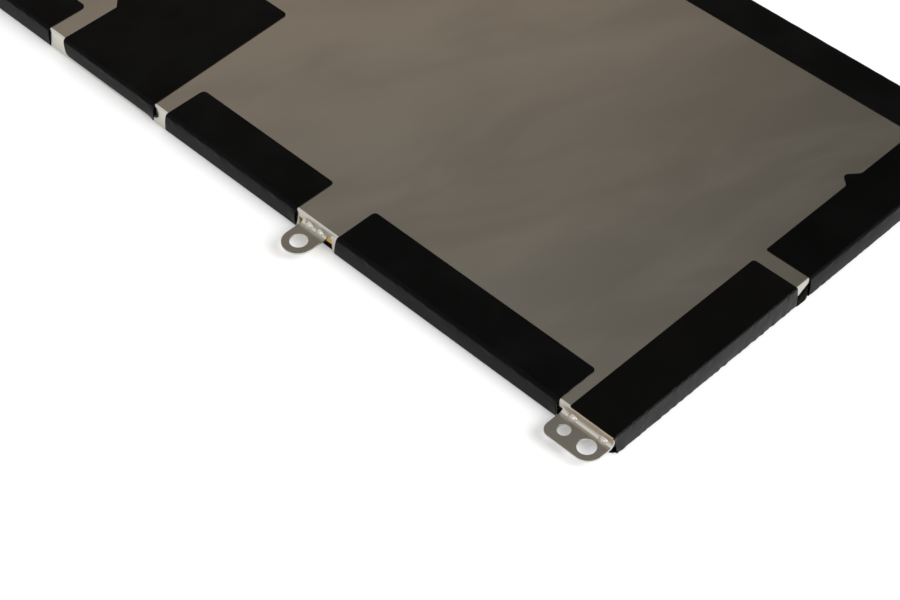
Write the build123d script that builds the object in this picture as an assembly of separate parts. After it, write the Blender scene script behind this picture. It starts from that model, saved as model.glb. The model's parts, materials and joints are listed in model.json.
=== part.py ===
"""Flat laptop battery pack: pouch cells and their board in a shallow steel tray, bound with tape.

It lies on its front film with the tray uppermost. X runs along the pack, Y across it from the edge with
the lugs (near) to the plain edge (far), and Z is up from the front film. All sizes are in millimetres.
"""

import os

from build123d import *

# Steel tray
PLATE_LENGTH = 236.5
PLATE_WIDTH = 92.0
PLATE_THICKNESS = 0.3
FOLD_RADIUS = 0.08
CORNER_RELIEF = 1.2
FLANGE_CLEARANCE = 0.05
END_FLANGE_NEAR = 2.3
END_FLANGE_FAR = 0.8

# Layers, from the front film up to the tray
FILM_THICKNESS = 0.1
TAPE_THICKNESS = 0.12
CELL_THICKNESS = 3.8
ADHESIVE_THICKNESS = 0.16

# Lugs that are folded out of the near edge
LUG_DROP = 1.85
LUG_BEND_RADIUS = 0.65
SCREW_HOLE_DIAMETER = 3.1
LOCATING_HOLE_DIAMETER = 2.2
CORNER_SCREW_FROM_END = 2.8
CORNER_HOLE_SPACING = 4.6
CORNER_HOLE_REACH = 2.75
CORNER_LUG_WALL = 2.8
CORNER_LUG_REACH = 5.3
CORNER_LUG_INNER_ROUND = 1.8
CORNER_LUG_OUTER_ROUND = 2.6
MIDDLE_SCREW_FROM_END = 65.04
MIDDLE_HOLE_REACH = 3.65
MIDDLE_LUG_WIDTH = 5.75
CORNER_SLOT_WIDTH = 1.3
MIDDLE_SLOT_WIDTH = 1.0
LUG_SLOT_RISE = 0.35
DIMPLE_RADIUS = 1.1
MIDDLE_DIMPLE_INSETS = (1.6, 1.6)
CORNER_DIMPLE_INSETS = (2.2, 1.85)

# Edge tapes: flaps across the edge, and gaps along it to the lugs and to each other
TAPE_FOLD_CLEARANCE = 0.25
TAPE_CORNER_ROUND = 1.0
NEAR_FLAP = 8.2
END_FLAP = 8.9
FAR_FLAP = 8.1
LOWER_FLAP = 6.0
CORNER_LUG_TAPE_GAP = 0.8
MIDDLE_LUG_OUTER_GAP = 1.65
MIDDLE_LUG_INNER_GAP = 0.35
END_TAPE_START = 0.15
END_TAPE_LENGTH = 42.6
END_TAPE_NOTCH = 3.1
FAR_TAPE_GAP = 0.4

# Wide patch over the middle of the near edge
PATCH_WIDTH = 24.0
PATCH_REACH = 31.7
PATCH_OFFSET = 1.05
PATCH_NOTCH = 3.4
PATCH_WALL = 3.2
PATCH_LEAN = 1.3
PATCH_SHOULDER = 11.7
PATCH_FLARE = 4.0

# Front film and its adhesive
FILM_MARGIN = 0.5
FILM_CORNER_ROUND = 1.0
FILM_ADHESIVE_GAP = 0.5

# Cells
CELL_COUNT = 3
CELL_GAP = 1.0
CELL_BACK_CLEARANCE = 0.5
CELL_CORNER_ROUND = 2.0
CELL_EDGE_ROUND = 0.8
TERRACE_DEPTH = 4.0
TERRACE_INSET = 2.0
TERRACE_THICKNESS = 0.4
CELL_ADHESIVE_MARGIN = 3.0
CELL_TAB_WIDTH = 6.0
CELL_TAB_THICKNESS = 0.1
CELL_TAB_FROM_CENTRE = 16.0
CELL_TAB_LAP = 2.4
INSULATOR_THICKNESS = 0.3
INSULATOR_CLEARANCE = 0.1

# Protection board along the near edge
BOARD_THICKNESS = 0.6
BOARD_DEPTH = 6.8
BOARD_FROM_END = 12.0
BOARD_FRONT_CLEARANCE = 0.3
BOARD_BACK_CLEARANCE = 0.8
SPACER_INSET = 0.4
COVER_THICKNESS = 0.06
COVER_CLEARANCE = 0.24
COVER_LAP = 1.1

# Parts on the board: width along X, depth along Y and height
CHIP_CHAMFER = 0.12
FRONT_ROW_GAP = 0.5
GAUGE_SIZE = (5.0, 5.0, 0.85)
GAUGE_X = 4.0
TRANSISTOR_SIZE = (3.3, 3.3, 0.9)
TRANSISTOR_X = 34.0
TRANSISTOR_PITCH = 4.6
TRANSISTOR_COUNT = 4
FUSE_SIZE = (5.4, 3.2, 1.0)
FUSE_X = -40.0
SENSE_SIZE = (3.2, 1.6, 0.6)
SENSE_X = -28.0
THERMISTOR_SIZE = (1.0, 0.5, 0.5)
THERMISTOR_FROM_END = 40.25
CHIP_SIZE = (0.5, 1.0, 0.45)
CHIP_X = 10.0
CHIP_PITCH = 1.5
CHIP_COUNT = 12

# Output connector
CONNECTOR_FROM_END = 44.25
CONNECTOR_DEPTH = 5.0
CONNECTOR_HEADROOM = 0.36
CONNECTOR_WALL = 0.4
CONNECTOR_BACK_WALL = 1.0
CONNECTOR_CLEARANCE = 0.2
CONTACT_COUNT = 8
CONTACT_PITCH = 1.2
CONTACT_THICKNESS = 0.3
CONTACT_CLEARANCE = 0.2
CONTACT_SETBACK = 0.8

# Levels up through the pack
FILM_TOP = FILM_THICKNESS
FLOOR_TOP = FILM_TOP + TAPE_THICKNESS
CELL_TOP = FLOOR_TOP + CELL_THICKNESS
PLATE_UNDER = CELL_TOP + ADHESIVE_THICKNESS
PLATE_TOP = PLATE_UNDER + PLATE_THICKNESS
TAPE_TOP = PLATE_TOP + TAPE_THICKNESS
FLANGE_BOTTOM = FLOOR_TOP + FLANGE_CLEARANCE
LUG_TOP = PLATE_TOP - LUG_DROP
BOARD_TOP = FLOOR_TOP + CELL_THICKNESS / 2
BOARD_BOTTOM = BOARD_TOP - BOARD_THICKNESS
CHIP_SIZES = (GAUGE_SIZE, TRANSISTOR_SIZE, FUSE_SIZE, SENSE_SIZE, THERMISTOR_SIZE, CHIP_SIZE)
TALLEST_CHIP = max(height for width, depth, height in CHIP_SIZES)
COVER_TOP = BOARD_TOP + TALLEST_CHIP + COVER_CLEARANCE + COVER_THICKNESS
CONNECTOR_TOP = PLATE_UNDER - CONNECTOR_HEADROOM

# Places across the pack
HALF_LENGTH = PLATE_LENGTH / 2
NEAR_FACE = -PLATE_WIDTH / 2
FLANGE_INNER = NEAR_FACE + PLATE_THICKNESS
BOARD_FRONT = FLANGE_INNER + BOARD_FRONT_CLEARANCE
BOARD_BACK = BOARD_FRONT + BOARD_DEPTH
TERRACE_FRONT = BOARD_BACK + BOARD_BACK_CLEARANCE
CELL_FRONT = TERRACE_FRONT + TERRACE_DEPTH
CELL_BACK = PLATE_WIDTH / 2 - PLATE_THICKNESS - CELL_BACK_CLEARANCE

# Folds and the tray's corner
FOLD_OUTER = FOLD_RADIUS + PLATE_THICKNESS
TAPE_FOLD = FOLD_OUTER - TAPE_FOLD_CLEARANCE
CORNER_END = HALF_LENGTH - TAPE_FOLD

# Lugs, patch and near tapes along the right half of the pack
SCREW_X = HALF_LENGTH - CORNER_SCREW_FROM_END
LOCATING_X = SCREW_X - CORNER_HOLE_SPACING
MIDDLE_X = HALF_LENGTH - MIDDLE_SCREW_FROM_END
CORNER_LUG = (LOCATING_X - CORNER_LUG_WALL, HALF_LENGTH)
MIDDLE_LUG = (MIDDLE_X - MIDDLE_LUG_WIDTH / 2, MIDDLE_X + MIDDLE_LUG_WIDTH / 2)
PATCH = (PATCH_OFFSET - PATCH_WIDTH / 2, PATCH_OFFSET + PATCH_WIDTH / 2)
OUTER_TAPE = (
    MIDDLE_LUG[1] + MIDDLE_SLOT_WIDTH + MIDDLE_LUG_OUTER_GAP,
    CORNER_LUG[0] - CORNER_LUG_TAPE_GAP,
)
INNER_TAPE = (PATCH[1] + PATCH_NOTCH, MIDDLE_LUG[0] - MIDDLE_SLOT_WIDTH - MIDDLE_LUG_INNER_GAP)

# Cells and insulators along the pack
INSULATOR_OUTER = HALF_LENGTH - PLATE_THICKNESS - INSULATOR_CLEARANCE
INSULATOR_INNER = INSULATOR_OUTER - INSULATOR_THICKNESS
CELL_PITCH = (2 * INSULATOR_INNER + CELL_GAP) / CELL_COUNT
CELL_WIDTH = CELL_PITCH - CELL_GAP
CELL_CENTRES = [(i - (CELL_COUNT - 1) / 2) * CELL_PITCH for i in range(CELL_COUNT)]

# Board and connector
BOARD_LENGTH = PLATE_LENGTH - 2 * BOARD_FROM_END
THERMISTOR_X = HALF_LENGTH - THERMISTOR_FROM_END
CONTACT_SPAN = CONTACT_PITCH * CONTACT_COUNT
CONNECTOR_WIDTH = CONTACT_SPAN + 2 * CONNECTOR_WALL
CONNECTOR_X = CONNECTOR_FROM_END - HALF_LENGTH

ABOVE = (Align.CENTER, Align.CENTER, Align.MIN)


def block(x_range, y_range, z_range):
    """Box between two values on each axis."""
    low, high = zip(x_range, y_range, z_range)
    size = [b - a for a, b in zip(low, high)]
    return Pos(*low) * Box(*size, align=Align.MIN)


def about(middle, width):
    """Range of a width about its middle."""
    return (middle - width / 2, middle + width / 2)


def folded_sheet(path, fold_radii, thickness, x_range):
    """Sheet along a path of (y, z) points, with the given radius inside each fold.

    The path is one face of the sheet, and the other face lies to the left of it."""
    points = [Vector(y, z) for y, z in path]
    headings = [(b - a).normalized() for a, b in zip(points, points[1:])]
    lefts = [Vector(-heading.Y, heading.X) for heading in headings]
    pairs = list(zip([lefts[0], *lefts], [*lefts, lefts[-1]]))
    other = [p + (m + n) * (thickness / (1 + m.dot(n))) for p, (m, n) in zip(points, pairs)]
    left_turns = [a.cross(b).Z > 0 for a, b in zip(headings, headings[1:])]
    path_radii = [r + thickness if left else r for r, left in zip(fold_radii, left_turns)]
    other_radii = [r if left else r + thickness for r, left in zip(fold_radii, left_turns)]
    radii = [0, *path_radii, 0, 0, *reversed(other_radii), 0]
    outline = FilletPolyline(*points, *reversed(other), radius=radii, close=True)
    section = Plane.YZ.offset(x_range[0]) * make_face(outline)
    return extrude(section, x_range[1] - x_range[0], dir=(1, 0, 0))


def flange(half_span, bottom, x_range):
    """Edge of the tray folded down, for an edge at -Y that is half_span from the middle."""
    path = [(-half_span + 2 * FOLD_OUTER, PLATE_TOP), (-half_span, PLATE_TOP), (-half_span, bottom)]
    return folded_sheet(path, [FOLD_RADIUS], PLATE_THICKNESS, x_range)


def side_flange():
    """Long edge folded down: its fold leaves room for the end tapes, and its wall runs to the corners."""
    fold = flange(PLATE_WIDTH / 2, FLANGE_BOTTOM, (-CORNER_END, CORNER_END))
    wall_z = (FLANGE_BOTTOM, PLATE_TOP - FOLD_OUTER)
    return fold + block((-HALF_LENGTH, HALF_LENGTH), (NEAR_FACE, FLANGE_INNER), wall_z)


def end_flange():
    """Fold at the right end, deep up to the notch in its tapes and shallow beyond it."""
    half_width = PLATE_WIDTH / 2
    span = half_width - CORNER_RELIEF
    deep = PLATE_TOP - END_FLANGE_NEAR
    shallow = PLATE_TOP - END_FLANGE_FAR
    notch_start = NEAR_FACE + END_TAPE_START + END_TAPE_LENGTH
    notch_end = notch_start + END_TAPE_NOTCH
    fold = Rot(Z=90) * flange(HALF_LENGTH, min(deep, shallow), (-span, span))
    trimmed = Polyline(
        (notch_start, deep), (notch_end, shallow), (half_width, shallow),
        (half_width, 0), (-half_width, 0), (-half_width, deep), close=True,
    )
    cut = Plane.YZ.offset(HALF_LENGTH - PLATE_THICKNESS) * make_face(trimmed)
    return fold - extrude(cut, PLATE_THICKNESS, dir=(1, 0, 0))


def lug(outline, holes, x_range, dimple_insets):
    """Part of the near edge folded down and out again into a level lug, with its dimples and holes."""
    reach = outline.bounding_box().min.Y
    path = [
        (NEAR_FACE + 2 * FOLD_OUTER, PLATE_TOP),
        (NEAR_FACE, PLATE_TOP),
        (NEAR_FACE, LUG_TOP),
        (reach, LUG_TOP),
    ]
    shape = folded_sheet(path, [FOLD_RADIUS, LUG_BEND_RADIUS], PLATE_THICKNESS, x_range)
    shape &= extrude(outline, PLATE_TOP, dir=(0, 0, 1))
    bend = (FLANGE_INNER, LUG_TOP - PLATE_THICKNESS)
    mid_sheet = PLATE_THICKNESS / 2
    for x in (x_range[0] + dimple_insets[0], x_range[1] - dimple_insets[1]):
        place = Pos(x, *bend) * Rot(Y=90)
        outside = block(
            (x - DIMPLE_RADIUS, x + DIMPLE_RADIUS),
            (bend[0] - DIMPLE_RADIUS, bend[0] - mid_sheet),
            (bend[1] + mid_sheet, bend[1] + DIMPLE_RADIUS),
        )
        shape += place * Sphere(DIMPLE_RADIUS) & outside
        shape -= place * Sphere(DIMPLE_RADIUS - PLATE_THICKNESS)
    for x, y, diameter in holes:
        shape -= Pos(x, y, LUG_TOP) * Cylinder(diameter / 2, 2 * PLATE_THICKNESS)
    return shape


def lug_opening(x_range, slot_width):
    """Space in the near edge for a lug: the edge that the lug is folded from, and a slot on each side of it."""
    slots = (x_range[0] - slot_width, x_range[1] + slot_width)
    edge = block(x_range, (NEAR_FACE, NEAR_FACE + 2 * FOLD_OUTER), (0, PLATE_TOP))
    return edge + block(slots, (NEAR_FACE, FLANGE_INNER), (0, LUG_TOP + LUG_SLOT_RISE))


def corner_lug():
    """Lug at the tray's right corner, with a screw hole and a locating hole."""
    y_range = (NEAR_FACE - CORNER_LUG_REACH, NEAR_FACE + 2 * FOLD_OUTER)
    size = [high - low for low, high in (CORNER_LUG, y_range)]
    outline = Pos(CORNER_LUG[0], y_range[0]) * Rectangle(*size, align=Align.MIN)
    tips = outline.vertices().group_by(Axis.Y)[0].sort_by(Axis.X)
    outline = fillet(tips[0], CORNER_LUG_INNER_ROUND)
    outline = fillet(outline.vertices().sort_by(Axis.X)[-2:].sort_by(Axis.Y)[0], CORNER_LUG_OUTER_ROUND)
    hole_y = NEAR_FACE - CORNER_HOLE_REACH
    holes = [(SCREW_X, hole_y, SCREW_HOLE_DIAMETER), (LOCATING_X, hole_y, LOCATING_HOLE_DIAMETER)]
    fold_y = (NEAR_FACE, NEAR_FACE + 2 * FOLD_OUTER)
    tape_room = block((CORNER_END, HALF_LENGTH), fold_y, (PLATE_TOP - FOLD_OUTER, PLATE_TOP))
    shape = lug(outline, holes, CORNER_LUG, CORNER_DIMPLE_INSETS) - tape_room
    return shape, lug_opening(CORNER_LUG, CORNER_SLOT_WIDTH)


def middle_lug():
    """Round-ended lug with one screw hole, part way along the near edge."""
    hole_y = NEAR_FACE - MIDDLE_HOLE_REACH
    neck_length = NEAR_FACE + 2 * FOLD_OUTER - hole_y
    neck = Rectangle(MIDDLE_LUG_WIDTH, neck_length, align=(Align.CENTER, Align.MIN))
    outline = Pos(MIDDLE_X, hole_y) * (neck + Circle(MIDDLE_LUG_WIDTH / 2))
    holes = [(MIDDLE_X, hole_y, SCREW_HOLE_DIAMETER)]
    shape = lug(outline, holes, MIDDLE_LUG, MIDDLE_DIMPLE_INSETS)
    return shape, lug_opening(MIDDLE_LUG, MIDDLE_SLOT_WIDTH)


def connector_window(y_range):
    """Space that the connector needs through whatever stands in front of it."""
    return block(
        about(CONNECTOR_X, CONNECTOR_WIDTH + 2 * CONNECTOR_CLEARANCE),
        y_range,
        (BOARD_TOP - CONNECTOR_CLEARANCE, CONNECTOR_TOP + CONNECTOR_CLEARANCE),
    )


def back_plate():
    """Steel tray: one sheet with folded edges and lugs."""
    flat = (PLATE_LENGTH - 2 * FOLD_OUTER, PLATE_WIDTH - 2 * FOLD_OUTER)
    tray = Pos(Z=PLATE_UNDER) * Box(*flat, PLATE_THICKNESS, align=ABOVE)
    side = side_flange()
    right = end_flange()
    tray += [side, Rot(Z=180) * side, right, mirror(right, Plane.YZ)]
    for shape, opening in (corner_lug(), middle_lug()):
        tray -= [opening, mirror(opening, Plane.YZ)]
        tray += [shape, mirror(shape, Plane.YZ)]
    return tray - connector_window((NEAR_FACE, FLANGE_INNER))


def edge_tape(half_span, flap, x_range):
    """Strip of tape wrapped round an edge at -Y: a flap on the tray, a side wall and a flap on the front."""
    outer = -half_span - TAPE_THICKNESS
    path = [
        (-half_span + flap, TAPE_TOP),
        (outer, TAPE_TOP),
        (outer, FILM_TOP),
        (-half_span + LOWER_FLAP, FILM_TOP),
    ]
    tape = folded_sheet(path, [TAPE_FOLD, 0], TAPE_THICKNESS, x_range)
    upright = tape.edges().filter_by(Axis.Z).group_by(Axis.Z)
    return fillet([*upright[0], *upright[-1]], TAPE_CORNER_ROUND)


def near_tape(x_range):
    """Tape on the near edge."""
    return edge_tape(PLATE_WIDTH / 2, NEAR_FLAP, x_range)


def end_tape(start, end):
    """Tape on the right end, between two places along Y."""
    return Rot(Z=90) * edge_tape(HALF_LENGTH, END_FLAP, (start, end))


def far_tape():
    """Tape along the far edge, between the flaps of the end tapes."""
    span = HALF_LENGTH - END_FLAP - FAR_TAPE_GAP
    return Rot(Z=180) * edge_tape(PLATE_WIDTH / 2, FAR_FLAP, (-span, span))


def centre_patch():
    """Wide patch on the tray, folded over the near edge and leaning a little."""
    left, right = PATCH
    fold_end = NEAR_FACE + FOLD_OUTER
    shoulder = NEAR_FACE + PATCH_SHOULDER
    back = NEAR_FACE + PATCH_REACH
    outline = Polyline(
        (right, fold_end), (right - PATCH_LEAN, back), (left - PATCH_FLARE, back),
        (left - PATCH_FLARE, shoulder + PATCH_FLARE), (left, shoulder), (left, fold_end), close=True,
    )
    top = extrude(Pos(Z=PLATE_TOP) * make_face(outline), TAPE_THICKNESS, dir=(0, 0, 1))
    outer = NEAR_FACE - TAPE_THICKNESS
    path = [(fold_end, TAPE_TOP), (outer, TAPE_TOP), (outer, TAPE_TOP - PATCH_WALL)]
    return top + folded_sheet(path, [TAPE_FOLD], TAPE_THICKNESS, (left, right))


def edge_tapes():
    """Every tape by name: those on the right, their mirror images on the left, the patch and the far tape."""
    notch_start = NEAR_FACE + END_TAPE_START + END_TAPE_LENGTH
    far_end = PLATE_WIDTH / 2 - END_TAPE_START
    right = {
        "near_tape_outer": near_tape(OUTER_TAPE),
        "near_tape_inner": near_tape(INNER_TAPE),
        "end_tape_near": end_tape(NEAR_FACE + END_TAPE_START, notch_start),
        "end_tape_far": end_tape(notch_start + END_TAPE_NOTCH, far_end),
    }
    tapes = {f"{name}_right": tape for name, tape in right.items()}
    tapes |= {f"{name}_left": mirror(tape, Plane.YZ) for name, tape in right.items()}
    tapes["near_tape_outer_left"] -= connector_window((NEAR_FACE - TAPE_THICKNESS, NEAR_FACE))
    return tapes | {"centre_patch": centre_patch(), "far_tape": far_tape()}


def front_layers():
    """Film that the pack lies on, and the adhesive sheet inside the tapes' lower flaps."""
    reach = 2 * (TAPE_THICKNESS - FILM_MARGIN)
    outline = RectangleRounded(PLATE_LENGTH + reach, PLATE_WIDTH + reach, FILM_CORNER_ROUND)
    inset = 2 * (LOWER_FLAP + FILM_ADHESIVE_GAP)
    sheet = Box(PLATE_LENGTH - inset, PLATE_WIDTH - inset, FLOOR_TOP - FILM_TOP, align=ABOVE)
    return {
        "front_film": extrude(outline, FILM_THICKNESS, dir=(0, 0, 1)),
        "film_adhesive": Pos(Z=FILM_TOP) * sheet,
    }


def cell(x):
    """Sealed pouch with rounded edges and a thin terrace where its tabs come out."""
    pouch = block(about(x, CELL_WIDTH), (CELL_FRONT, CELL_BACK), (FLOOR_TOP, CELL_TOP))
    pouch = fillet(pouch.edges().filter_by(Axis.Z), CELL_CORNER_ROUND)
    levels = pouch.edges().group_by(Axis.Z)
    pouch = fillet([*levels[0], *levels[-1]], CELL_EDGE_ROUND)
    terrace = block(
        about(x, CELL_WIDTH - 2 * (CELL_CORNER_ROUND + TERRACE_INSET)),
        (TERRACE_FRONT, CELL_FRONT + CELL_EDGE_ROUND),
        about(BOARD_TOP + CELL_TAB_THICKNESS / 2, TERRACE_THICKNESS),
    )
    return pouch + terrace


def cell_tab(x):
    """Metal strip from a cell's terrace on to the board."""
    y_range = (BOARD_BACK - CELL_TAB_LAP, TERRACE_FRONT)
    return block(about(x, CELL_TAB_WIDTH), y_range, (BOARD_TOP, BOARD_TOP + CELL_TAB_THICKNESS))


def cells():
    """Each cell with its two tabs and the adhesive that holds it to the tray."""
    pieces = {}
    for number, x in enumerate(CELL_CENTRES, start=1):
        pieces[f"cell_{number}"] = cell(x)
        pieces[f"cell_{number}_positive_tab"] = cell_tab(x - CELL_TAB_FROM_CENTRE)
        pieces[f"cell_{number}_negative_tab"] = cell_tab(x + CELL_TAB_FROM_CENTRE)
        pieces[f"cell_adhesive_{number}"] = block(
            about(x, CELL_WIDTH - 2 * CELL_ADHESIVE_MARGIN),
            (CELL_FRONT + CELL_ADHESIVE_MARGIN, CELL_BACK - CELL_ADHESIVE_MARGIN),
            (CELL_TOP, PLATE_UNDER),
        )
    return pieces


def insulators():
    """Upright strips between the outer cells and the folded ends of the tray."""
    strip = block((INSULATOR_INNER, INSULATOR_OUTER), (CELL_FRONT, CELL_BACK), (FLOOR_TOP, CELL_TOP))
    return {"insulator_right": strip, "insulator_left": mirror(strip, Plane.YZ)}


def board():
    """Protection board on its foam spacer, under a folded cover tape."""
    x_range = (-BOARD_LENGTH / 2, BOARD_LENGTH / 2)
    spacer_y = (BOARD_FRONT + SPACER_INSET, BOARD_BACK - SPACER_INSET)
    cover_front = BOARD_FRONT - COVER_THICKNESS
    path = [(BOARD_BACK, COVER_TOP), (cover_front, COVER_TOP), (cover_front, BOARD_TOP - COVER_LAP)]
    cover = folded_sheet(path, [COVER_THICKNESS], COVER_THICKNESS, x_range)
    return {
        "protection_board": block(x_range, (BOARD_FRONT, BOARD_BACK), (BOARD_BOTTOM, BOARD_TOP)),
        "board_spacer": block(x_range, spacer_y, (FLOOR_TOP, BOARD_BOTTOM)),
        "board_cover_tape": cover - connector_window(
            (cover_front, NEAR_FACE + CONNECTOR_DEPTH + CONNECTOR_CLEARANCE)
        ),
    }


def board_chip(size, x):
    """Chip in the row along the front of the board, with its top edges eased."""
    front = BOARD_FRONT + FRONT_ROW_GAP
    chip = block(about(x, size[0]), (front, front + size[1]), (BOARD_TOP, BOARD_TOP + size[2]))
    return chamfer(chip.edges().group_by(Axis.Z)[-1], CHIP_CHAMFER)


def board_chips():
    """Parts soldered to the board."""
    transistor_places = [TRANSISTOR_X + i * TRANSISTOR_PITCH for i in range(TRANSISTOR_COUNT)]
    small_places = [CHIP_X + i * CHIP_PITCH for i in range(CHIP_COUNT)]
    return {
        "gauge_chip": board_chip(GAUGE_SIZE, GAUGE_X),
        "power_transistors": Compound(children=[board_chip(TRANSISTOR_SIZE, x) for x in transistor_places]),
        "board_fuse": board_chip(FUSE_SIZE, FUSE_X),
        "sense_resistor": board_chip(SENSE_SIZE, SENSE_X),
        "thermistor": board_chip(THERMISTOR_SIZE, THERMISTOR_X),
        "small_components": Compound(children=[board_chip(CHIP_SIZE, x) for x in small_places]),
    }


def connector():
    """Socket on the board that opens through the near edge, and the row of contacts in it."""
    back = NEAR_FACE + CONNECTOR_DEPTH
    mouth_back = back - CONNECTOR_BACK_WALL
    mouth_z = (BOARD_TOP + CONNECTOR_WALL, CONNECTOR_TOP - CONNECTOR_WALL)
    housing = block(about(CONNECTOR_X, CONNECTOR_WIDTH), (NEAR_FACE, back), (BOARD_TOP, CONNECTOR_TOP))
    housing -= block(about(CONNECTOR_X, CONTACT_SPAN), (NEAR_FACE, mouth_back), mouth_z)
    contacts = [
        block(
            about(CONNECTOR_X + (i - (CONTACT_COUNT - 1) / 2) * CONTACT_PITCH, CONTACT_THICKNESS),
            (NEAR_FACE + CONTACT_SETBACK, mouth_back),
            (mouth_z[0] + CONTACT_CLEARANCE, mouth_z[1] - CONTACT_CLEARANCE),
        )
        for i in range(CONTACT_COUNT)
    ]
    return {"connector_housing": housing, "connector_contacts": Compound(children=contacts)}


pieces = {"back_plate": back_plate()}
for group in (edge_tapes(), front_layers(), cells(), insulators(), board(), board_chips(), connector()):
    pieces |= group

os.makedirs("parts", exist_ok=True)
for name, shape in pieces.items():
    export_step(shape, f"parts/{name}.step")
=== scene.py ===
import json
import math

import bmesh
import bpy
from mathutils import Matrix, Quaternion, Vector, noise


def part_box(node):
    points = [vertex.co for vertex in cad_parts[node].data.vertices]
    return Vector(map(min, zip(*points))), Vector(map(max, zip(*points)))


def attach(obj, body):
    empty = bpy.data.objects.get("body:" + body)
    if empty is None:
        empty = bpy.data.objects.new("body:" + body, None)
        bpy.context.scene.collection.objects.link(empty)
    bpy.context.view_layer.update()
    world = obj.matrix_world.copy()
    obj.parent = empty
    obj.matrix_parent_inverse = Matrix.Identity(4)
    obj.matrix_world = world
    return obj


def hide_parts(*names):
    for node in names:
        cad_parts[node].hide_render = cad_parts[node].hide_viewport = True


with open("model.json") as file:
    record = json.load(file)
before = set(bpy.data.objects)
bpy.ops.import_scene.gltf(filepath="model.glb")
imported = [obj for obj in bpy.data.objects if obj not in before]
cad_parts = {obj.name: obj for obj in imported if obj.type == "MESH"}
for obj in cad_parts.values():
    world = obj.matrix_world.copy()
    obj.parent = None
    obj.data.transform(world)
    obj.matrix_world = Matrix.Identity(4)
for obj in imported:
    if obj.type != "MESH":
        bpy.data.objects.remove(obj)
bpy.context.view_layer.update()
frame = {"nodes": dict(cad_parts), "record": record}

MM = 0.001
QUARTER_TURN = math.pi / 2

# Camera, as fitted to the photograph's 900 by 600 frame: place and aim in millimetres, roll in degrees
CAMERA_PLACE = (256.2, -214.16, 266.02)
CAMERA_AIM = (81.15, -43.06, 4.48)
CAMERA_ROLL = -0.92
CAMERA_LENS = 91.79
CAMERA_SENSOR = 36.0
CAMERA_CLIP = 0.01

# Table: half its side in metres, how far it lies below the pack in millimetres, its grey and its own glow
TABLE_REACH = 3.0
TABLE_DROP = 0.03
TABLE_GREY = 0.68
TABLE_GLOW = 0.22

# Lamps: place and size in metres, power in watts
KEY_LAMP = ((0.85, 0.08, 0.65), 0.7, 11.0)
SPARKLE_LAMP = ((0.27, -0.7, 0.66), 0.12, 0.3)

# Room, by the parts of the direction that is looked in: the span over which it turns dim
DIM_LEFT = (0.5, 0.2)
DIM_BACK = (-0.05, 0.25)
DIM_UP = (0.2, 0.45)

# Levels of the room: a span of directions, and the levels at its two ends
BRIGHT_ROOM = (0.0, 0.5, 0.5, 0.97)
LEFT_RISE = (-0.39, -0.475, 0.1, 0.2)
LEFT_FALL = (-0.49, -0.57, 0.0, 0.035)
HIGH_RISE = (0.73, 0.79, 0.0, 0.12)
LOW_RISE = (0.68, 0.56, 0.0, 0.26)
LOW_RISE_LEFT = (-0.45, -0.53)

# Tint of the dim part of the room, which turns warmer low on the left
DIM_TINT = (1.0, 0.985, 0.9)
WARM_TINT = (1.0, 0.78, 0.63)
WARM_LOW = (0.74, 0.58)
WARM_LEFT = (-0.34, -0.52)

# Steel. The denoiser draws lines where a roughness crosses about 0.27, so steel stays below it and tape above
STEEL_ROUGHNESS = 0.205
STEEL_DULL = (0.545, 0.521, 0.468)
STEEL_CLEAN = (0.63, 0.605, 0.548)
STEEL_VEIN = (0.5, 0.48, 0.43)
STEEL_RUBBED = (0.72, 0.69, 0.64)
STEEL_DUST = (0.9, 0.88, 0.84)
STEEL_EDGE = 0.05
VEIN_WIDTH = 0.12

# Painted shade on the fold beside the corner lug, a brown that dims the fold's highlight: its colour,
# and the spans in millimetres over which it sets in, along the edge from the end tape, into the pack from
# the near face and down from the tray's top
FOLD_SHADE = (0.44, 0.34, 0.25)
FOLD_SHADE_ALONG = (-2.35, 0.65)
FOLD_SHADE_INTO = (0.3, 0.05)
FOLD_SHADE_BELOW = (1.48, 0.88)

# Tape finishes: gloss, and lightness of the black. The three looks are copies of one tape that are set apart
# to paint light and shade: more gloss paints a brighter reflection on the end tapes' walls, less gloss paints
# the near tapes' walls darker, and the black of each is set so that the tops come out alike
TAPE_ROUGHNESS = 0.285
TAPE_DUST = (0.4, 0.38, 0.35)
NEAR_TAPE_PAINTED_LIGHT = (0.042, 0.0026)
END_TAPE_PAINTED_LIGHT = (0.112, 0.0006)
DULL_TAPE_PAINTED_LIGHT = (0.05, 0.0014)

# Span of soft noise that is spread from one tone to the other
TONE_SPAN = (0.3, 0.7)

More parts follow.
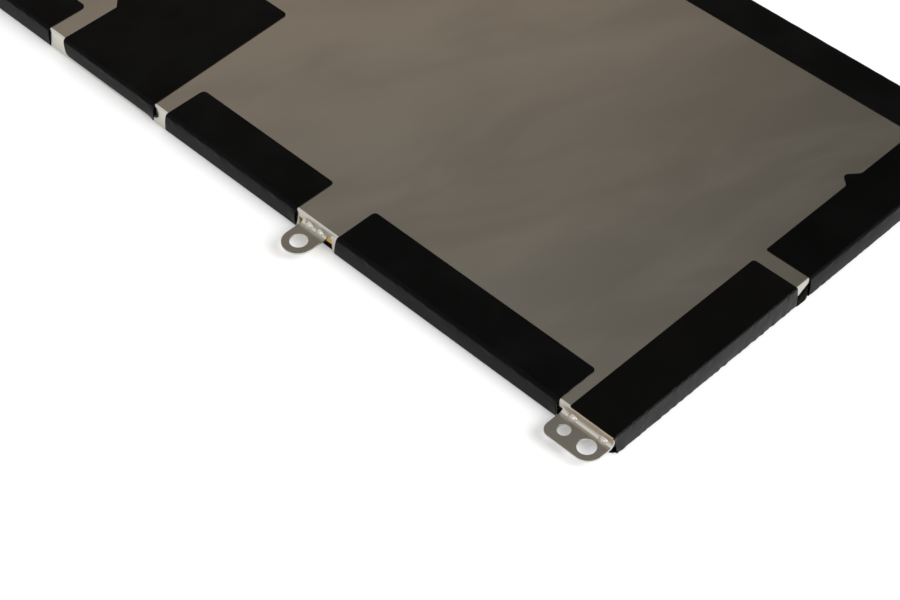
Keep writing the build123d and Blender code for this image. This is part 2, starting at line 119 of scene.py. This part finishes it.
# Finishes that drift between two tones: the tones, roughness, size of the patches in millimetres, extras
METAL = {"metallic": 1.0}
DRIFTING_FINISHES = {
    "front_film": ((0.009, 0.009, 0.01), (0.014, 0.014, 0.015), 0.34, 14, {}),
    "clear_adhesive": ((0.5, 0.47, 0.4), (0.62, 0.6, 0.54), 0.5, 6, {}),
    "cell_pouch": ((0.6, 0.6, 0.61), (0.72, 0.72, 0.73), 0.4, 8, METAL),
    "aluminium_tab": ((0.7, 0.7, 0.7), (0.8, 0.8, 0.8), 0.35, 3, METAL),
    "nickel_tab": ((0.52, 0.49, 0.42), (0.6, 0.57, 0.5), 0.32, 3, METAL),
    "black_insulator": ((0.001, 0.0015, 0.001), (0.002, 0.003, 0.002), 0.5, 3, {"specular_ior_level": 0.02}),
    "board_mask": ((0.008, 0.016, 0.011), (0.012, 0.026, 0.018), 0.3, 2, {}),
    "black_foam": ((0.008, 0.008, 0.008), (0.016, 0.016, 0.016), 0.8, 0.5, {"depth": 0.06}),
    "amber_tape": ((0.66, 0.38, 0.03), (0.78, 0.48, 0.05), 0.22, 4, {}),
    "chip_resin": ((0.014, 0.014, 0.016), (0.024, 0.024, 0.026), 0.5, 0.8, {}),
    "fuse_body": ((0.62, 0.6, 0.52), (0.72, 0.7, 0.62), 0.4, 1, {}),
    "resistor_body": ((0.024, 0.024, 0.024), (0.04, 0.04, 0.04), 0.45, 0.6, {}),
    "thermistor_body": ((0.17, 0.15, 0.13), (0.22, 0.2, 0.18), 0.5, 0.4, {}),
    "chip_ceramic": ((0.33, 0.23, 0.14), (0.42, 0.3, 0.19), 0.4, 0.5, {}),
    "connector_resin": ((0.015, 0.015, 0.015), (0.025, 0.025, 0.025), 0.45, 1, {}),
    "contact_metal": ((0.7, 0.5, 0.17), (0.8, 0.6, 0.25), 0.25, 0.6, METAL),
}

# Tape, in millimetres
TAPE_THICKNESS = 0.12
LOW_FOLD = 0.25
LOWER_FLAP = 5.9
LIFT_LENGTH = 2.5
WINDOW_CLEARANCE = 0.2
EDGE_TURNS = {"near": 0, "right": 90, "far": 180, "left": -90}

# Folds round the edge: radius, and how far the wall stands proud at the fold before it comes in to its foot
SOFT_FOLD = (0.7, 0.2)
SHARP_FOLD = (0.3, 0.0)
MIDDLE_FOLD = (0.55, 0.1)
SOCKET_FOLD = (0.55, 0.05)

# Columns along a tape: their spacing in millimetres, and how much they crowd towards its ends
TAPE_STEP = 0.3
END_CROWDING = 0.09

# Rows across each run of a tape
FLAP_ROWS = 10
FOLD_ROWS = 9
WALL_ROWS = 12
LOW_FOLD_ROWS = 5
LOWER_FLAP_ROWS = 6

# Unevenness of a tape: size of its waves in millimetres, and a number that is added to the tape's seed
LONG_WAVE = (2.1, 0)
SHORT_WAVE = (0.8, 3)
KINK = (0.9, 5)
SWELL = (9.0, 0)
DENT = (0.9, 7)
SCALLOP = (0.9, 1)
TEAR = (0.6, 0)
TEAR_SHIFT = 9.0
SEED_SPACING = 7.31

# How far the unevenness reaches from the fold and from the foot of the wall, in millimetres
FOLD_REACH = 0.8
FOOT_REACH = 0.6

# Point that sticks out of the far end tape's flap: where it starts, peaks and ends, and how far it reaches
EAR = (20.0, 22.0, 24.6, 1.7)

# Wide patch: its lean, its left edge's overlap, the flare of that edge beyond the shoulder, its wall's reach
PATCH_LEAN = 1.3
PATCH_EXTRA = 0.5
PATCH_SHOULDER = 11.7
PATCH_FLARE = 4.0
PATCH_DROP = 0.6
PATCH_ROWS = (14, 8, 14)

# Insulating sheet at the ends, which swells in the notch between the end tapes, in millimetres
NOTCH_SWELL = 0.52
NOTCH_FLOOR = 0.03
NOTCH_CEILING = (2.1, 3.5)
NOTCH_EASE = 1.1
NOTCH_MARGIN = 2.0
NOTCH_ROWS = (12, 40, 16)
NOTCH_LAYERS = 30

# Where the swelling rises and falls, as shares of the notch's width, and the creases in it
NOTCH_RISE = (-0.35, 0.25)
NOTCH_FALL = (0.75, 1.35)
CREASE_DEPTH = 0.05
CREASE_SIZE = 0.9
CREASE_SEED = 11

# Front film
GROOVE_HALF_WIDTH = 1.4
GROOVE_DEPTH = 0.06
FILM_CORNER = 1.0
FILM_CORNER_SEGMENTS = 6

# Edges that are sharper than this many degrees stay sharp
SHARP_ANGLE = 45


def node_box(node):
    """Lowest and highest corner of a CAD node, in millimetres."""
    return [Vector(corner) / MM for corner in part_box(node)]


class Value:
    """A shader socket that takes part in sums with numbers and other sockets."""

    def __init__(self, finish, socket):
        self.finish = finish
        self.socket = socket

    def maths(self, operation, first, second):
        return self.finish.add("ShaderNodeMath", {"operation": operation}, {0: first, 1: second})

    def __add__(self, other):
        return self.maths("ADD", self, other)

    def __radd__(self, other):
        return self.maths("ADD", other, self)

    def __sub__(self, other):
        return self.maths("SUBTRACT", self, other)

    def __rsub__(self, other):
        return self.maths("SUBTRACT", other, self)

    def __mul__(self, other):
        return self.maths("MULTIPLY", self, other)

    def __rmul__(self, other):
        return self.maths("MULTIPLY", other, self)

    def __abs__(self):
        return self.maths("ABSOLUTE", self, 0)


class Finish:
    """A node tree of a material or the world, built up node by node."""

    def __init__(self, owner):
        owner.use_nodes = True
        self.tree = owner.node_tree
        self.tree.nodes.clear()

    def add(self, kind, settings=None, sockets=None, output=0):
        """Adds one node: its settings first, then the values or links of its sockets."""
        node = self.tree.nodes.new(kind)
        for name, value in (settings or {}).items():
            setattr(node, name, value)
        for name, value in (sockets or {}).items():
            if isinstance(value, Value):
                self.tree.links.new(value.socket, node.inputs[name])
            else:
                node.inputs[name].default_value = value
        if not node.outputs:
            return node
        return Value(self, node.outputs[output])

    def axes(self, vector):
        """The three parts of a vector."""
        split = self.add("ShaderNodeSeparateXYZ", {}, {0: vector})
        return [Value(self, socket) for socket in split.socket.node.outputs]

    def place(self, stretch=(1, 1, 1), turn=0.0):
        """Place on the piece in millimetres, turned about Z and then shrunk along each axis."""
        coordinates = self.add("ShaderNodeTexCoord", output="Object")
        sockets = {"Vector": coordinates, "Rotation": (0, 0, math.radians(turn))}
        turned = self.add("ShaderNodeMapping", {}, sockets)
        scale = [1 / (MM * s) for s in stretch]
        return self.add("ShaderNodeMapping", {}, {"Vector": turned, "Scale": scale})

    def clouds(self, size, detail=3, roughness=0.5, stretch=(1, 1, 1), turn=0.0, offset=0.0, bend=0.0):
        """Soft noise from 0 to 1 with patches of a size in millimetres."""
        place = self.place([size * s for s in stretch], turn)
        shift = {0: place, 1: (offset, offset, offset)}
        moved = self.add("ShaderNodeVectorMath", {"operation": "ADD"}, shift)
        sockets = {"Vector": moved, "Scale": 1.0, "Detail": detail}
        sockets |= {"Roughness": roughness, "Distortion": bend}
        return self.add("ShaderNodeTexNoise", {}, sockets)

    def specks(self, spacing, radius, share):
        """1 on sparse round specks of a radius in millimetres, on a share of the places they could take."""
        sockets = {"Vector": self.place([spacing] * 3), "Scale": 1.0}
        distance = self.add("ShaderNodeTexVoronoi", {}, sockets, output="Distance")
        pick, _, size = self.axes(self.add("ShaderNodeTexVoronoi", {}, sockets, output="Color"))
        reach = radius / spacing
        near = self.between(distance, 0.6 * reach, reach, 1.0, 0.0)
        return near * self.between(pick, 1 - share, 1.0001 - share) * (0.4 + 0.6 * size)

    def between(self, value, low, high, to_low=0.0, to_high=1.0, kind="SMOOTHSTEP"):
        """Maps a value from one range to another and clamps it there."""
        sockets = {"Value": value, "From Min": low, "From Max": high, "To Min": to_low, "To Max": to_high}
        return self.add("ShaderNodeMapRange", {"interpolation_type": kind}, sockets)

    def mix(self, factor, first, second):
        """Colour between two colours."""
        sockets = {0: factor, 6: first, 7: second}
        return self.add("ShaderNodeMix", {"data_type": "RGBA"}, sockets, output=2)

    def bump(self, height, distance, normal=None):
        """Normal of a height from 0 to 1 that stands for a distance in millimetres."""
        sockets = {"Height": height, "Distance": distance * MM, "Strength": 1.0}
        if normal:
            sockets["Normal"] = normal
        return self.add("ShaderNodeBump", {}, sockets)

    def eased_edges(self, radius):
        """Normal that rounds every edge by a radius in millimetres."""
        return self.add("ShaderNodeBevel", {"samples": 6}, {"Radius": radius * MM})

    def surface(self, **sockets):
        """Ends the material in one principled shader."""
        names = {"specular_ior_level": "Specular IOR Level"}
        named = {names.get(name, name.replace("_", " ").title()): value for name, value in sockets.items()}
        shader = self.add("ShaderNodeBsdfPrincipled", {}, named)
        self.add("ShaderNodeOutputMaterial", {}, {"Surface": shader})


def colour(red, green, blue):
    return (red, green, blue, 1.0)


def grey(level):
    return colour(level, level, level)


def new_finish(name):
    material = bpy.data.materials.new(name)
    return material, Finish(material)


def painted_shade_beside_lug(f):
    """1 where brown shade is painted on the tray's fold beside the right corner lug, to dim the fold's
    highlight.
    """
    x, y, z = f.axes(f.place())
    tape = node_box("end_tape_near_right")[0].x
    face = node_box("near_tape_outer_right")[0].y + TAPE_THICKNESS
    top = node_box("back_plate")[1].z
    along = f.between(x, *[tape + reach for reach in FOLD_SHADE_ALONG])
    into = f.between(y, *[face + depth for depth in FOLD_SHADE_INTO])
    above = f.between(z, *[top - depth for depth in FOLD_SHADE_BELOW])
    return along * into * above


def satin_steel():
    """Rolled stainless sheet: long smudges, darker veins, grain along the roll, dust and painted shade by a
    lug.
    """
    material, f = new_finish("satin_steel")
    long_clouds = f.clouds(15, detail=3, roughness=0.55, stretch=(1, 2.8, 1), turn=20, bend=0.5)
    smudges = f.between(long_clouds, *TONE_SPAN)
    wide_clouds = f.clouds(60, detail=1, bend=0.7, offset=4)
    veins = f.between(abs(wide_clouds - 0.5), 0.0, VEIN_WIDTH, 1.0, 0.0)
    grain = f.clouds(0.11, detail=2, stretch=(1, 12, 1))
    rolled = f.clouds(1.3, detail=2, stretch=(1, 60, 1), offset=2)
    dust = f.specks(11, 0.16, 0.35)
    worn = f.mix(smudges, colour(*STEEL_DULL), colour(*STEEL_CLEAN))
    veined = f.mix(0.3 * veins, worn, colour(*STEEL_VEIN))
    rubbed = f.mix(0.12 * rolled, veined, colour(*STEEL_RUBBED))
    # Brown painted shade on the fold beside the corner lug, which dims the fold's highlight there
    shaded = f.mix((0.35 + 0.4 * smudges) * painted_shade_beside_lug(f), rubbed, colour(*FOLD_SHADE))
    base = f.mix(dust, shaded, colour(*STEEL_DUST))
    rough = STEEL_ROUGHNESS + 0.025 * smudges + 0.015 * grain + 0.02 * veins
    normal = f.bump(grain, 0.0001, f.eased_edges(STEEL_EDGE))
    f.surface(base_color=base, metallic=1.0 - dust, roughness=rough, normal=normal)
    return material


def black_tape(name, gloss, light):
    """Matte black polyester tape with a fine pebble and a few flecks of dust."""
    material, f = new_finish(name)
    pebble = f.clouds(0.17, detail=2)
    tone = f.between(f.clouds(9, detail=3, offset=3), *TONE_SPAN)
    dust = f.specks(6, 0.13, 0.3)
    # The black's lightness and the gloss are set per copy, as painted light and shade on the tape
    plain = f.mix(tone, grey(0.6 * light), grey(light))
    base = f.mix(0.5 * dust, plain, colour(*TAPE_DUST))
    rough = TAPE_ROUGHNESS + 0.05 * tone + 0.06 * pebble
    f.surface(base_color=base, roughness=rough, specular_ior_level=gloss, normal=f.bump(pebble, 0.003))
    return material


def drifting_finish(name, dark, pale, roughness, patch, metallic=0.0, depth=0.004, **extra):
    """A finish whose colour drifts between two tones, with a fine pebble of a depth in millimetres."""
    material, f = new_finish(name)
    tone = f.between(f.clouds(patch, detail=4), *TONE_SPAN)
    fine = f.clouds(0.2, detail=2, offset=5)
    rough = roughness + 0.1 * tone - 0.06 * fine
    base = f.mix(tone, colour(*dark), colour(*pale))
    f.surface(base_color=base, metallic=metallic, roughness=rough, normal=f.bump(fine, depth), **extra)
    return material


def finishes():
    """Every material by its slot in the record."""
    materials = {"satin_steel": satin_steel(), "black_tape": black_tape("black_tape", *NEAR_TAPE_PAINTED_LIGHT)}
    for slot, (dark, pale, roughness, patch, extra) in DRIFTING_FINISHES.items():
        materials[slot] = drifting_finish(slot, dark, pale, roughness, patch, **extra)
    return materials


def clamp(value):
    return min(max(value, 0), 1)


def soft_step(value, low, high):
    """0 below low, 1 above high and a smooth rise between."""
    t = clamp((value - low) / (high - low))
    return t * t * (3 - 2 * t)


def ripple(a, s, size, seed):
    """Smooth random height from about -1 to 1, with waves of a size in millimetres."""
    return noise.noise(Vector((a / size, s / size, seed * SEED_SPACING)))


def walk(runs, distance):
    """Place and outward direction at a distance along a strip folded by runs of (length, turn in radians)."""
    place = Vector((0, 0))
    angle = 0.0
    for length, turn in runs:
        step = min(distance, length)
        outward = Vector((-math.sin(angle), math.cos(angle)))
        if turn:
            radius = length / turn
            angle -= step / radius
            place += radius * (Vector((-math.sin(angle), math.cos(angle))) - outward)
        else:
            place += step * Vector((math.cos(angle), math.sin(angle)))
        distance -= step
        if distance <= 0:
            break
    return place, Vector((-math.sin(angle), math.cos(angle)))


def stops(steps):
    """Distances of the rows across a strip, from (length, count) steps that are divided evenly."""
    rows = [0.0]
    for length, count in steps:
        start = rows[-1]
        rows += [start + length * (i + 1) / count for i in range(count)]
    return rows


def flat_strip(columns, rows):
    """Flat grid whose X is a share of the length, closer together towards the ends, and whose Y is a row."""
    bm = bmesh.new()
    bmesh.ops.create_grid(bm, x_segments=columns, y_segments=len(rows) - 1, size=0.5)
    for v in bm.verts:
        share = v.co.x + 0.5
        v.co.y = rows[round((v.co.y + 0.5) * (len(rows) - 1))]
        v.co.x = share - END_CROWDING * math.sin(2 * math.pi * share)
    return bm


def cut_across(bm, axis, point):
    """Adds a straight row of edges through a point of a flat sheet, square to X (axis 0) or to Y (axis 1)."""
    normal = Vector((1 - axis, axis, 0))
    geometry = bm.verts[:] + bm.edges[:] + bm.faces[:]
    bmesh.ops.bisect_plane(bm, geom=geometry, plane_co=point, plane_no=normal)


def cut_window(bm, low, high):
    """Cuts a rectangle out of a flat strip."""
    for axis in (0, 1):
        for corner in (low, high):
            cut_across(bm, axis, corner)
    inside = [
        face for face in bm.faces
        if all(low[i] < face.calc_center_median()[i] < high[i] for i in (0, 1))
    ]
    bmesh.ops.delete(bm, geom=inside, context="FACES")


class Tape:
    """Tape cut flat and folded round an edge: a flap on the tray, a wall and a flap under the front.

    Pairs are for the strip's two ends. All lengths are in millimetres.
    """

    fold = SOFT_FOLD
    lower_flap = LOWER_FLAP
    spacing = TAPE_STEP
    finish = None

    # Cut: corner radii, length beyond the CAD strip's ends, run of the ends along the edge by the foot of the
    # wall, depth of torn ends, reach of the wall below the CAD strip
    rounds = (1.0, 1.0)
    extras = (0.0, 0.0)
    slants = (0.0, 0.0)
    ragged = (0.0, 0.0)
    drop = 0.0

    # Cut of special strips: a function for the ends at a row, rows of the flap, a point on the flap, and a
    # window in the wall
    ends = None
    flap_steps = None
    ear = None
    window = None

    # How it lies: lift of the ends off the wall, waves and kinks along the fold, waves along the foot, and
    # dents and swelling of the wall
    lifts = (0.0, 0.0)
    shoulder = 0.11
    jag = 0.0
    scallop = 0.0
    dents = 0.0
    bulge = 0.08

    def __init__(self, node, edge, seed, **ways):
        self.node = node
        self.seed = seed
        vars(self).update(ways)
        self.turn = Matrix.Rotation(math.radians(EDGE_TURNS[edge]), 3, "Z")
        corners = [self.turn.inverted() @ corner for corner in node_box(node)]
        start, end = sorted(corner.x for corner in corners)
        outer, self.inner = sorted(corner.y for corner in corners)
        low, self.high = sorted(corner.z for corner in corners)
        self.start = start - self.extras[0]
        self.end = end + self.extras[1]
        self.lay_out(self.inner - outer, self.high - low + self.drop)

    def lay_out(self, depth, height):
        """Works out the strip's runs and rows from the depth of its flap and the height of its wall."""
        self.radius, self.proud = self.fold
        low_radius = LOW_FOLD if self.lower_flap else 0.0
        bend, low_bend = self.radius * QUARTER_TURN, low_radius * QUARTER_TURN
        self.flap = depth + self.proud - self.radius
        self.side = height - self.radius - low_radius
        self.fold_end = self.flap + bend
        self.wall_end = self.fold_end + self.side
        self.runs = [(self.flap, 0), (bend, QUARTER_TURN), (self.side, 0)]
        self.rows = list(self.flap_steps or [(self.flap, FLAP_ROWS)])
        self.rows += [(bend, FOLD_ROWS), (self.side, WALL_ROWS)]
        if self.lower_flap:
            self.runs += [(low_bend, QUARTER_TURN), (self.lower_flap, 0)]
            self.rows += [(low_bend, LOW_FOLD_ROWS), (self.lower_flap, LOWER_FLAP_ROWS)]
        self.strip_end = sum(length for length, _ in self.runs)

    def waves(self, kind, a, s=0.0):
        """Unevenness of one kind at a place on the strip."""
        size, own_seed = kind
        return ripple(a, s, size, self.seed + own_seed)

    def outline(self, share, s):
        """Place on the cut strip of a share of its length and a distance across it."""
        down = clamp((s - self.flap) / (self.wall_end - self.flap))
        first, last = self.ends(s, self.flap) if self.ends else (self.start, self.end)
        first += self.slants[0] * down + self.ragged[0] * self.waves(TEAR, 0, s)
        last += self.slants[1] * down + self.ragged[1] * self.waves(TEAR, TEAR_SHIFT, s)
        a = first + (last - first) * share
        for corner, gap in zip(self.rounds, (a - first, last - a)):
            if gap < corner:
                cut = corner - math.sqrt(max(corner ** 2 - (corner - gap) ** 2, 0))
                s += cut * max(1 - s / self.flap, 0)
                s -= cut * max(1 - (self.strip_end - s) / (self.lower_flap or self.side), 0)
        if self.ear:
            ear_start, ear_peak, ear_end, reach = self.ear
            point = min(soft_step(a, ear_start, ear_peak), 1 - soft_step(a, ear_peak, ear_end))
            s -= reach * point * max(1 - s / self.flap, 0) ** 2
        return a, s

    def cut(self):
        """The flat strip, with X along the edge and Y across the tape."""
        bm = flat_strip(round((self.end - self.start) / self.spacing), stops(self.rows))
        for v in bm.verts:
            v.co = (*self.outline(v.co.x, v.co.y), 0)
        if self.window:
            (left, bottom), (right, top) = self.window
            wall_top = self.fold_end + self.high - self.radius
            cut_window(bm, Vector((left, wall_top - top, 0)), Vector((right, wall_top - bottom, 0)))
        return bm

    def stand_off(self, a, s, down):
        """How far the tape stands off its plain fold at a place that lies a share of the way down the wall."""
        middle = math.sin(math.pi * down)
        near_fold = math.exp(-((s - (self.flap + self.fold_end) / 2) / FOLD_REACH) ** 2)
        near_foot = math.exp(-((s - self.wall_end) / FOOT_REACH) ** 2)
        mixed = self.waves(LONG_WAVE, a, s) + 0.6 * self.waves(SHORT_WAVE, a, s)
        height = near_fold * self.shoulder * mixed
        height += near_fold * self.jag * self.waves(KINK, a)
        height += middle * self.bulge * (0.6 + 0.5 * self.waves(SWELL, a))
        height += middle * self.dents * self.waves(DENT, a, 0.5 * s)
        height += near_foot * self.scallop * self.waves(SCALLOP, a)
        hold = middle if self.lower_flap else down
        for lift, gap in zip(self.lifts, (a - self.start, self.end - a)):
            height += lift * max(1 - max(gap, 0) / LIFT_LENGTH, 0) ** 2 * hold
        return height

    def make(self):
        """Cuts the strip, folds it round its edge and finishes it."""
        bm = self.cut()
        for v in bm.verts:
            a, s = v.co.x, v.co.y
            down = clamp((s - self.fold_end) / self.side)
            place, outward = walk(self.runs, s)
            place += outward * self.stand_off(a, s, down)
            v.co = self.turn @ Vector((a, self.inner - place.x + self.proud * down, self.high + place.y))
        name = f"{self.node}_strip"
        finish_piece(bm, name, "black_tape", self.node, TAPE_THICKNESS, outward=(0, 0, 1), finish=self.finish)


def edge_tapes():
    """Every tape on the edges, as each one lies."""
    low, high = node_box("connector_housing")
    room = WINDOW_CLEARANCE
    socket = ((low.x - room, low.z - room), (high.x + room, high.z + room))
    crisp = {"fold": SHARP_FOLD, "shoulder": 0.03, "jag": 0.13, "scallop": 0.12, "dents": 0.035}
    # Copies of the black tape for the end tapes, with gloss and black set to paint light and shade on their
    # walls
    crisp["finish"] = black_tape("end_tape", *END_TAPE_PAINTED_LIGHT)
    slack = {"fold": MIDDLE_FOLD, "shoulder": 0.06, "jag": 0.06, "scallop": 0.08, "dents": 0.02}
    slack["finish"] = black_tape("dull_end_tape", *DULL_TAPE_PAINTED_LIGHT)
    tapes = [
        Tape("near_tape_outer_right", "near", 1, rounds=(0.8, 0.7), slants=(-1.1, -0.6), lifts=(0.05, 0.25),
             ragged=(0.02, 0.12)),
        Tape("near_tape_inner_right", "near", 2, rounds=(0.9, 0.5), slants=(-1.0, -0.6), lifts=(0.05, 0.25)),
        Tape("near_tape_outer_left", "near", 3, fold=SOCKET_FOLD, slants=(0.4, 0.6), window=socket),
        Tape("near_tape_inner_left", "near", 4, extras=(0.0, 0.9), slants=(0.3, -0.6), lifts=(0.2, 0.05)),
        Tape("end_tape_near_right", "right", 5, rounds=(0.25, 0.6), extras=(0.13, 0.0), slants=(1.03, 0.3),
             lifts=(-0.2, 0.0), **crisp),
        Tape("end_tape_far_right", "right", 6, rounds=(0.25, 1.0), slants=(0.3, 0.0), ear=EAR, **slack),
        Tape("end_tape_near_left", "left", 7, rounds=(0.6, 0.25), **crisp),
        Tape("end_tape_far_left", "left", 8, rounds=(1.0, 0.4), **slack),
        Tape("far_tape", "far", 9, shoulder=0.03, bulge=0.04, spacing=2 * TAPE_STEP),
    ]
    for tape in tapes:
        tape.make()


def centre_patch():
    """Wide patch on the tray that leans, flares beyond its shoulder and hangs over the near edge."""
    low, high = node_box("centre_patch")
    left, right = low.x + PATCH_FLARE - PATCH_EXTRA, high.x
    radius, proud = SOFT_FOLD
    back = high.y - low.y + proud - radius - PATCH_SHOULDER - PATCH_FLARE

    def ends(s, flap):
        beyond = flap - s - PATCH_SHOULDER
        flare = PATCH_FLARE * clamp(beyond / PATCH_FLARE)
        return left - flare, right - PATCH_LEAN * clamp(1 - s / flap)

    flap_steps = list(zip((back, PATCH_FLARE, PATCH_SHOULDER), PATCH_ROWS))
    patch = Tape("centre_patch", "near", 10, rounds=(0.8, 0.8), lifts=(0.5, 0.6), drop=PATCH_DROP,
                 lower_flap=0.0, ends=ends, flap_steps=flap_steps)
    patch.make()


def end_insulator(side, sign):
    """Black sheet at an end of the pack that swells out through the notch between the end tapes."""
    node = f"insulator_{side}"
    low, high = node_box(node)
    near, far = node_box(f"end_tape_near_{side}")[1].y, node_box(f"end_tape_far_{side}")[0].y
    face = max(abs(low.x), abs(high.x))
    lengths = (near - NOTCH_MARGIN - low.y, far - near + 2 * NOTCH_MARGIN, high.y - far - NOTCH_MARGIN)
    rows = stops(zip(lengths, NOTCH_ROWS))
    heights = stops([(high.z - low.z, NOTCH_LAYERS)])
    bm = bmesh.new()
    bmesh.ops.create_grid(bm, x_segments=len(rows) - 1, y_segments=len(heights) - 1, size=0.5)
    for v in bm.verts:
        y = low.y + rows[round((v.co.x + 0.5) * (len(rows) - 1))]
        z = low.z + heights[round((v.co.y + 0.5) * (len(heights) - 1))]
        along = (y - near) / (far - near)
        ceiling = NOTCH_CEILING[0] + (NOTCH_CEILING[1] - NOTCH_CEILING[0]) * clamp(along)
        across = soft_step(along, *NOTCH_RISE) * (1 - soft_step(along, *NOTCH_FALL))
        upright = 1 - soft_step(z, ceiling - NOTCH_EASE, ceiling)
        crease = CREASE_DEPTH * ripple(y, z, CREASE_SIZE, CREASE_SEED)
        sag = (low.z - NOTCH_FLOOR) * across * (high.z - z) / (high.z - low.z)
        v.co = (sign * (face + (NOTCH_SWELL + crease) * across * upright), y, z - sag)
    finish_piece(bm, f"{node}_sheet", "black_insulator", node, high.x - low.x, outward=(sign, 0, 0))


def front_film():
    """Film that the pack lies on, drawn up a little between the cells and along the tapes' flaps."""
    low, high = node_box("front_film")
    cells = [node_box(f"cell_{number}") for number in (1, 2, 3)]
    gaps = [(cells[i][1].x + cells[i + 1][0].x) / 2 for i in (0, 1)]
    flaps = node_box("film_adhesive")
    bm = bmesh.new()
    bmesh.ops.create_grid(bm, x_segments=1, y_segments=1, size=0.5)
    bmesh.ops.scale(bm, vec=(high.x - low.x, high.y - low.y, 1), verts=bm.verts)
    bmesh.ops.bevel(bm, geom=bm.verts[:], offset=FILM_CORNER, offset_type="OFFSET", affect="VERTICES",
                    segments=FILM_CORNER_SEGMENTS, profile=0.5, material=-1)
    grooves = [(0, x) for x in (*gaps, flaps[0].x, flaps[1].x)] + [(1, flaps[0].y), (1, flaps[1].y)]
    for axis, middle in grooves:
        for share in (-1, -0.5, 0, 0.5, 1):
            place = middle + share * GROOVE_HALF_WIDTH
            cut_across(bm, axis, Vector((place, place, 0)))
    for v in bm.verts:
        nearest = min(abs(v.co[axis] - middle) for axis, middle in grooves)
        v.co.z = GROOVE_DEPTH * (1 - soft_step(nearest, 0, GROOVE_HALF_WIDTH))
    finish_piece(bm, "front_film_sheet", "front_film", "front_film", high.z - low.z, outward=(0, 0, -1))


def finish_piece(bm, name, slot, node, thickness, outward, finish=None):
    """Gives a sheet in millimetres its thickness inwards, and makes it a piece that stands for a CAD node."""
    bmesh.ops.recalc_face_normals(bm, faces=bm.faces)
    facing = sum((face.normal * face.calc_area() for face in bm.faces), Vector())
    if facing.dot(Vector(outward)) < 0:
        bmesh.ops.reverse_faces(bm, faces=bm.faces)
    bmesh.ops.solidify(bm, geom=bm.faces[:], thickness=thickness)
    bmesh.ops.scale(bm, vec=(MM, MM, MM), verts=bm.verts)
    mesh = bpy.data.meshes.new(name)
    bm.to_mesh(mesh)
    bm.free()
    mesh.shade_smooth()
    mesh.set_sharp_from_angle(angle=math.radians(SHARP_ANGLE))
    mesh.materials.append(finish or MATERIALS[slot])
    piece = add_object(name, mesh)
    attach(piece, "root")
    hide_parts(node)


def add_object(name, data):
    item = bpy.data.objects.new(name, data)
    bpy.context.scene.collection.objects.link(item)
    return item


def dress_cad_nodes():
    """Gives every CAD node the finish of its slot."""
    for part in frame["record"]["subparts"]:
        data = frame["nodes"][part["node"]].data
        data.materials.clear()
        data.materials.append(MATERIALS[part["material_slot"]])


def camera():
    place, aim = Vector(CAMERA_PLACE) * MM, Vector(CAMERA_AIM) * MM
    data = bpy.data.cameras.new("camera")
    data.sensor_fit = "HORIZONTAL"
    data.sensor_width = CAMERA_SENSOR
    data.lens = CAMERA_LENS
    data.clip_start = CAMERA_CLIP
    item = add_object("camera", data)
    roll = Quaternion((0, 0, 1), math.radians(CAMERA_ROLL))
    item.rotation_mode = "QUATERNION"
    item.rotation_quaternion = (aim - place).to_track_quat("-Z", "Y") @ roll
    item.location = place
    bpy.context.scene.camera = item


def table():
    """Pale table top that the pack lies on."""
    material, f = new_finish("pale_table")
    camera_ray = f.add("ShaderNodeLightPath", output="Is Camera Ray")
    glossy_ray = f.add("ShaderNodeLightPath", output="Is Glossy Ray")
    seen = f.add("ShaderNodeMath", {"operation": "MAXIMUM"}, {0: camera_ray, 1: glossy_ray})
    lit = f.add("ShaderNodeBsdfDiffuse", {}, {"Color": grey(TABLE_GREY)})
    glow = f.add("ShaderNodeEmission", {}, {"Color": grey(1), "Strength": seen * TABLE_GLOW})
    both = f.add("ShaderNodeAddShader", {}, {0: lit, 1: glow})
    f.add("ShaderNodeOutputMaterial", {}, {"Surface": both})
    bm = bmesh.new()
    bmesh.ops.create_grid(bm, x_segments=1, y_segments=1, size=TABLE_REACH)
    bmesh.ops.translate(bm, vec=(0, 0, -TABLE_DROP * MM), verts=bm.verts)
    mesh = bpy.data.meshes.new("table")
    bm.to_mesh(mesh)
    bm.free()
    mesh.materials.append(material)
    add_object("table", mesh)


def lamp(name, place, size, power):
    """Round lamp that faces the pack."""
    data = bpy.data.lights.new(name, "AREA")
    data.shape = "DISK"
    data.size = size
    data.energy = power
    item = add_object(name, data)
    item.location = place
    item.rotation_mode = "QUATERNION"
    item.rotation_quaternion = (-Vector(place)).to_track_quat("-Z", "Y")


def studio():
    """Soft light from the right in a pale room that is dim and warm above the table's far left side."""
    world = bpy.data.worlds.new("studio")
    bpy.context.scene.world = world
    f = Finish(world)
    x, y, z = f.axes(f.add("ShaderNodeTexCoord", output="Generated"))
    dim = f.between(y, *DIM_BACK) * f.between(x, *DIM_LEFT) * f.between(z, *DIM_UP)
    wall = f.between(x, *LEFT_RISE, kind="LINEAR") - f.between(x, *LEFT_FALL)
    wall = wall + f.between(z, *HIGH_RISE)
    wall = wall + f.between(z, *LOW_RISE, kind="LINEAR") * f.between(x, *LOW_RISE_LEFT)
    bright = f.between(z, *BRIGHT_ROOM)
    camera_ray = f.add("ShaderNodeLightPath", output="Is Camera Ray")
    level = camera_ray + (1 - camera_ray) * (bright * (1 - dim) + wall * dim)
    warm = f.between(z, *WARM_LOW, kind="LINEAR") * f.between(x, *WARM_LEFT)
    shade = f.mix(warm, colour(*DIM_TINT), colour(*WARM_TINT))
    tint = f.mix((1 - camera_ray) * dim, grey(1), shade)
    background = f.add("ShaderNodeBackground", {}, {"Color": tint, "Strength": level})
    f.add("ShaderNodeOutputWorld", {}, {"Surface": background})
    lamp("key", *KEY_LAMP)
    lamp("sparkle", *SPARKLE_LAMP)


MATERIALS = finishes()
dress_cad_nodes()
edge_tapes()
centre_patch()
end_insulator("right", 1)
end_insulator("left", -1)
front_film()
camera()
table()
studio()

bpy.context.scene.view_settings.view_transform = "Standard"
bpy.context.view_layer.update()
